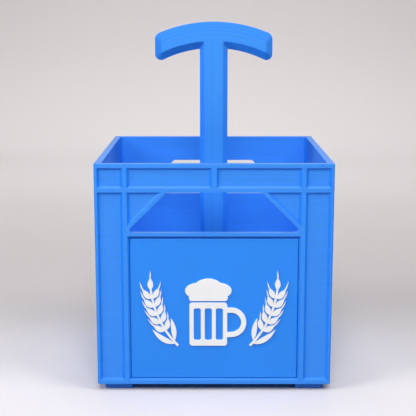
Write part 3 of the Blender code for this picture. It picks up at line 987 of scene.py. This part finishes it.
def closed_band(sections):
    """A solid round the z axis, spun from a loop with one corner for each (radius, height) section."""
    body = bmesh.new()
    corners = [body.verts.new((1, 0, number)) for number in range(len(sections))]
    loop = [body.edges.new(ends) for ends in zip(corners, corners[1:] + corners[:1])]
    bmesh.ops.spin(
        body,
        geom=corners + loop,
        cent=(0, 0, 0),
        axis=(0, 0, 1),
        angle=2 * math.pi,
        steps=ROUND_STEPS,
        use_merge=True,
    )
    for vert in body.verts:
        radius, height = sections[round(vert.co.z)]
        angle = math.atan2(vert.co.y, vert.co.x)
        away = at(radius, angle)
        vert.co = Vector((away * math.cos(angle), away * math.sin(angle), at(height, angle)))
    bmesh.ops.recalc_face_normals(body, faces=body.faces)
    return body


def build_nut():
    """The hexagon nut: flat sides, and corners turned off to a cone at both ends."""
    low, high = (corner[2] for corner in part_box("handle_nut"))

    def outline(angle):
        return hexagon_radius(angle, NUT_WIDTH)

    def turned_off(angle):
        return max(0.0, outline(angle) - NUT_FACE_RADIUS) * NUT_CHAMFER_SLOPE

    sections = [
        (NUT_BORE_RADIUS + METAL_EDGE, low),
        (NUT_FACE_RADIUS, low),
        (outline, lambda angle: low + turned_off(angle)),
        (outline, lambda angle: high - turned_off(angle)),
        (NUT_FACE_RADIUS, high),
        (NUT_BORE_RADIUS + METAL_EDGE, high),
        (NUT_BORE_RADIUS, high - METAL_EDGE),
        (NUT_BORE_RADIUS, low + METAL_EDGE),
    ]
    surface = steel("nut_steel", ZINC_STEEL, ZINC_ROUGHNESS)
    stand_in("handle_nut", "captive_nut", closed_band(sections), surface)


def build_washer():
    """The flat washer under the screw's head."""
    low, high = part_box("handle_washer")
    rim = (high[0] - low[0]) / 2
    sections = [
        (WASHER_BORE_RADIUS, low[2]),
        (rim, low[2]),
        (rim, high[2]),
        (WASHER_BORE_RADIUS, high[2]),
    ]
    surface = steel("washer_steel", ZINC_STEEL, ZINC_ROUGHNESS)
    washer = stand_in("handle_washer", "flat_washer", closed_band(sections), surface)
    soften(washer, METAL_EDGE)


def build_screw():
    """The button-head screw, and its thread as a ridge that winds up the core."""
    surface = steel("screw_steel", SCREW_STEEL, SCREW_ROUGHNESS)
    stand_in("handle_screw", "button_screw", merged_copy("handle_screw"), surface)
    turns = math.floor(THREAD_LENGTH / THREAD_PITCH) - 1
    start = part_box("handle_screw")[1][2] - THREAD_PITCH * (turns + 1)
    sunk = SCREW_CORE_RADIUS - THREAD_SINK
    corners = ((sunk, 0), (THREAD_CREST_RADIUS, THREAD_PITCH / 2), (sunk, THREAD_PITCH))
    thread = bmesh.new()
    section = thread.faces.new([thread.verts.new((radius, 0, start + up)) for radius, up in corners])
    bmesh.ops.spin(
        thread,
        geom=[section, *section.edges, *section.verts],
        cent=(0, 0, 0),
        axis=(0, 0, 1),
        dvec=(0, 0, THREAD_PITCH / THREAD_TURN_STEPS),
        angle=2 * math.pi * turns,
        steps=THREAD_TURN_STEPS * turns,
    )
    bmesh.ops.recalc_face_normals(thread, faces=thread.faces)
    piece_from("screw_thread", thread, surface)


def painted_stage_light(surface, run):
    """Painted light and shade on the paper, joined smoothly from the first place along the sweep to the last.
    """
    near, far = STAGE_PAINTED_LIGHT[0], STAGE_PAINTED_LIGHT[-1]
    length = far[0] - near[0]
    ramp = surface.add("ShaderNodeValToRGB")
    ramp.color_ramp.interpolation = "CARDINAL"
    surface.feed(ramp.inputs["Fac"], surface.math("DIVIDE", surface.math("SUBTRACT", run, near[0]), length))
    stops = ramp.color_ramp.elements
    stops[0].color = solid(near[1])
    stops[1].color = solid(far[1])
    for place, tone in STAGE_PAINTED_LIGHT[1:-1]:
        stops.new((place - near[0]) / length).color = solid(tone)
    return ramp.outputs["Color"]


def sweep_paper():
    """Pale paper with painted light and shade that change slowly along it, which fades into the haze far from
    the crate.
    """
    surface = Surface("pale_sweep", STAGE_BOUNCE, STAGE_ROUGHNESS)
    across, along, up = surface.parts(surface.place())
    seen = surface.seen()
    painted_light = painted_stage_light(surface, surface.math("ADD", along, up))
    surface.feed(surface.shader.inputs["Base Color"], surface.blend_colours(seen, solid(STAGE_BOUNCE), painted_light))
    off_middle = surface.largest(surface.math("ABSOLUTE", across), surface.product(along, -1.0))
    glow = surface.add("ShaderNodeEmission")
    glow.inputs["Color"].default_value = solid(HAZE_TONE)
    surface.fade(surface.product(surface.between(off_middle, HAZE_START, HAZE_FULL), seen), glow)
    return surface.material


def build_stage():
    """A pale sweep: level floor, curved corner and upright back."""
    body = bmesh.new()
    bmesh.ops.create_grid(body, x_segments=1, y_segments=1, size=STAGE_HALF)
    back_edge = next(edge for edge in body.edges if all(vert.co.y > 0 for vert in edge.verts))
    for vert in back_edge.verts:
        vert.co.y = STAGE_BACK
    curved = bmesh.ops.spin(
        body,
        geom=[back_edge, *back_edge.verts],
        cent=(0, STAGE_BACK, STAGE_CURVE),
        axis=(1, 0, 0),
        angle=math.pi / 2,
        steps=STAGE_STEPS,
    )
    last = [item for item in curved["geom_last"] if isinstance(item, bmesh.types.BMEdge)]
    upright = bmesh.ops.extrude_edge_only(body, edges=last)
    rising = [item for item in upright["geom"] if isinstance(item, bmesh.types.BMVert)]
    bmesh.ops.translate(body, verts=rising, vec=(0, 0, STAGE_TOP))
    bmesh.ops.recalc_face_normals(body, faces=body.faces)
    for face in body.faces:
        face.smooth = True
    object_from("studio_sweep", body, sweep_paper())


def add_lamp(name, place, aim, size, power):
    """A soft box that looks at a point."""
    data = bpy.data.lights.new(name, "AREA")
    data.shape = "SQUARE"
    data.size = size
    data.energy = power
    lamp = link(bpy.data.objects.new(name, data))
    lamp.location = place
    lamp.rotation_euler = (Vector(aim) - Vector(place)).to_track_quat("-Z", "Y").to_euler()


def add_soft_box(name, azimuth, elevation, distance, size, power):
    """A soft box at its angles round the crate, counted from straight in front and to the right."""
    across, up = math.radians(azimuth), math.radians(elevation)
    direction = Vector((math.cos(up) * math.sin(across), -math.cos(up) * math.cos(across), math.sin(up)))
    add_lamp(name, Vector(LIGHT_AIM) + direction * distance, LIGHT_AIM, size, power)


def build_room():
    """A dim room that shows as a pale haze above the horizon."""
    room = Room("dim_room")
    room.shader.inputs["Color"].default_value = solid(ROOM_WHITE)
    room.shader.inputs["Strength"].default_value = ROOM_LIGHT
    haze = room.add("ShaderNodeBackground")
    haze.inputs["Color"].default_value = solid(HAZE_TONE)
    height = room.parts(room.direction())[Z_AXIS]
    low_down = room.math("SUBTRACT", 1.0, room.between(height, HAZE_LOW, HAZE_HIGH))
    room.fade(room.product(low_down, room.seen()), haze)
    bpy.context.scene.world = room.world


def build_light():
    """Soft boxes round the crate, and one for the backdrop alone."""
    build_room()
    for soft_box in SOFT_BOXES:
        add_soft_box(*soft_box)
    add_lamp("backdrop_box", BACKDROP_LAMP, BACKDROP_AIM, BACKDROP_SIZE, BACKDROP_POWER)


def build_camera():
    """The camera at the photograph's own place and angle."""
    data = bpy.data.cameras.new("camera")
    data.sensor_width = SENSOR_WIDTH
    data.lens = CAMERA_LENS
    camera = link(bpy.data.objects.new("camera", data))
    camera.location = CAMERA_PLACE
    camera.rotation_euler = (CAMERA_PITCH, 0, CAMERA_YAW)
    bpy.context.scene.camera = camera


def main():
    """Dresses the crate and sets the studio round it."""
    build_crate()
    build_handle()
    build_plate()
    build_sign()
    build_screw()
    build_washer()
    build_nut()
    build_stage()
    build_light()
    build_camera()
    bpy.context.scene.view_settings.view_transform = "Standard"


main()
